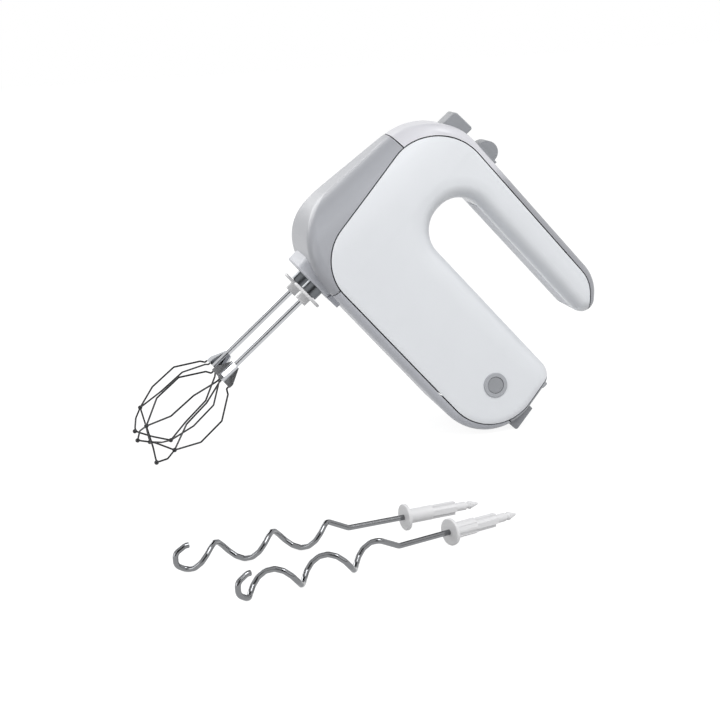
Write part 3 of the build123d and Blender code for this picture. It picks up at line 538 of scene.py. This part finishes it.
class SetStage(bpy.types.Operator):
    """Lay the pale table, set the lamps and aim the camera"""

    bl_idname = "mixer.set_stage"
    bl_label = "Stage"

    def execute(self, context):
        scene = context.scene
        scene.view_settings.view_transform = "Standard"
        self.table(scene)
        self.sky(scene)
        self.lamps(scene)
        self.flags(scene)
        self.camera(scene, scene.mixer_stage)
        return {"FINISHED"}

    def seen(self, graph):
        """1 for rays that show the background: from the camera, or off gloss or through glass."""
        rays = graph.node("ShaderNodeLightPath").outputs
        camera = Value(graph, rays["Is Camera Ray"])
        gloss = Value(graph, rays["Is Glossy Ray"])
        glass = Value(graph, rays["Is Transmission Ray"])
        return graph.maths("MINIMUM", camera + gloss + glass, 1.0)

    def mixed(self, graph, factor, first, second):
        """A mix of the first outputs of two nodes."""
        sockets = {0: factor, 1: first.outputs[0], 2: second.outputs[0]}
        return graph.node("ShaderNodeMixShader", None, sockets)

    def sheet(self, scene, name, half_wide, half_high, material):
        """A flat sheet of the stage, round its own origin."""
        corners = [
            (-half_wide, -half_high, 0),
            (half_wide, -half_high, 0),
            (half_wide, half_high, 0),
            (-half_wide, half_high, 0),
        ]
        mesh = bpy.data.meshes.new(name)
        mesh.from_pydata(corners, [], [(0, 1, 2, 3)])
        mesh.materials.append(material)
        made = bpy.data.objects.new(name, mesh)
        scene.collection.objects.link(made)
        return made

    def face_mixer(self, made, spot):
        """Puts a lamp or a card at a spot counted from the model's middle, and turns it to that middle."""
        made.location = (cad_low + cad_high) / 2 + Vector(spot)
        made.rotation_mode = "QUATERNION"
        made.rotation_quaternion = (-Vector(spot)).to_track_quat("-Z", "Y")

    def table(self, scene):
        """A wide floor, white where it is seen, which keeps a faint shadow."""

        def make(graph):
            dull = graph.node("ShaderNodeBsdfDiffuse", None, {"Color": TABLE_DULL})
            pale = graph.node("ShaderNodeBsdfDiffuse", None, {"Color": TABLE_PALE})
            glow = graph.node("ShaderNodeEmission", None, {"Color": WHITE, "Strength": GLOW_STRENGTH})
            bright = self.mixed(graph, GLOW_SHARE, pale, glow)
            return self.mixed(graph, self.seen(graph), dull, bright).outputs[0]

        self.sheet(scene, "table", TABLE_REACH, TABLE_REACH, finish_material("table_pale", make))

    def sky(self, scene):
        """White behind everything, and a softer light on the mixer."""
        world = bpy.data.worlds.new("studio")
        world.use_nodes = True
        graph = Graph(world.node_tree)
        soft = graph.node("ShaderNodeBackground", None, {"Color": WHITE, "Strength": SKY_LIGHT})
        white = graph.node("ShaderNodeBackground", None, {"Color": WHITE, "Strength": SKY_SEEN})
        mixed = self.mixed(graph, self.seen(graph), soft, white)
        graph.node("ShaderNodeOutputWorld", None, {"Surface": mixed.outputs[0]})
        scene.world = world

    def lamps(self, scene):
        """Soft lamps: a large one overhead, weaker ones at the right, the left and the rear."""
        rig = (
            ("key", (0.4, -0.9, 1.45), 0.8, 14.5),
            ("fill", (0.7, -1.3, 0.5), 1.0, 5.0),
            ("side", (-1.4, -0.4, 0.1), 0.8, 4.5),
            ("rear", (-0.7, 1.4, 0.8), 1.0, 9.0),
        )
        for name, spot, size, power in rig:
            lamp = bpy.data.lights.new(name, "AREA")
            lamp.size = size
            lamp.energy = power
            made = bpy.data.objects.new(name, lamp)
            made.visible_camera = False
            scene.collection.objects.link(made)
            self.face_mixer(made, spot)

    def flags(self, scene):
        """Dark cards out of the picture, which only reflections show."""

        def make(graph):
            return graph.node("ShaderNodeBsdfDiffuse", None, {"Color": (0.01, 0.01, 0.01, 1.0)}).outputs[0]

        dark = finish_material("flag_black", make)
        rig = (
            ("flag_front", (0.35, -1.6, 0.75), 1.2, 0.8),
            ("flag_top", (-0.2, 1.0, 1.5), 1.6, 0.6),
            ("flag_low", (0.2, -1.2, 0.02), 1.6, 0.16),
        )
        for name, spot, half_wide, half_high in rig:
            card = self.sheet(scene, name, half_wide, half_high, dark)
            self.face_mixer(card, spot)
            for kind in ("camera", "diffuse", "transmission", "shadow", "volume_scatter"):
                setattr(card, "visible_" + kind, False)

    def camera(self, scene, stage):
        """The camera, turned from its target so that the mixer sits where it does in the picture."""
        turn = stage.azimuth
        tilt = stage.roll
        level_share = math.cos(stage.elevation)
        height = math.sin(stage.elevation)
        back = Vector((math.sin(turn) * level_share, -math.cos(turn) * level_share, height))
        right = Vector((math.cos(turn), math.sin(turn), 0.0))
        up = back.cross(right)
        across = right * math.cos(tilt) - up * math.sin(tilt)
        rise = right * math.sin(tilt) + up * math.cos(tilt)
        target = Vector(stage.target)
        spot = target + back * stage.distance
        aim = target + across * stage.offset[0] + rise * stage.offset[1]
        data = bpy.data.cameras.new("camera")
        data.lens = stage.lens
        data.sensor_width = 36.0
        camera = bpy.data.objects.new("camera", data)
        camera.location = spot
        camera.rotation_mode = "QUATERNION"
        level = (aim - spot).to_track_quat("-Z", "Y")
        camera.rotation_quaternion = level @ Quaternion((0.0, 0.0, 1.0), -tilt)
        scene.collection.objects.link(camera)
        scene.camera = camera


class MixerPanel(bpy.types.Panel):
    """Lists the steps that dress the mixer"""

    bl_idname = "MIXER_PT_dressing"
    bl_label = "Hand mixer"
    bl_space_type = "VIEW_3D"
    bl_region_type = "UI"
    bl_category = "Mixer"

    def draw(self, context):
        for step in STEPS:
            self.layout.operator(step.bl_idname)


STEPS = (DressShell, DressCovers, DressControls, DressTools, DressWorks, SetStage)
GROUPS = {"mixer_finishes": MixerFinishes, "mixer_stage": MixerStage}


def register():
    for group in GROUPS.values():
        bpy.utils.register_class(group)
    for name, group in GROUPS.items():
        setattr(bpy.types.Scene, name, bpy.props.PointerProperty(type=group))
    for step in STEPS:
        bpy.utils.register_class(step)
    bpy.utils.register_class(MixerPanel)


def unregister():
    bpy.utils.unregister_class(MixerPanel)
    for step in reversed(STEPS):
        bpy.utils.unregister_class(step)
    for name in GROUPS:
        delattr(bpy.types.Scene, name)
    for group in reversed(list(GROUPS.values())):
        bpy.utils.unregister_class(group)


def main():
    register()
    bpy.ops.mixer.dress_shell()
    bpy.ops.mixer.dress_covers()
    bpy.ops.mixer.dress_controls()
    bpy.ops.mixer.dress_tools()
    bpy.ops.mixer.dress_works()
    bpy.ops.mixer.set_stage()


if __name__ == "__main__":
    main()
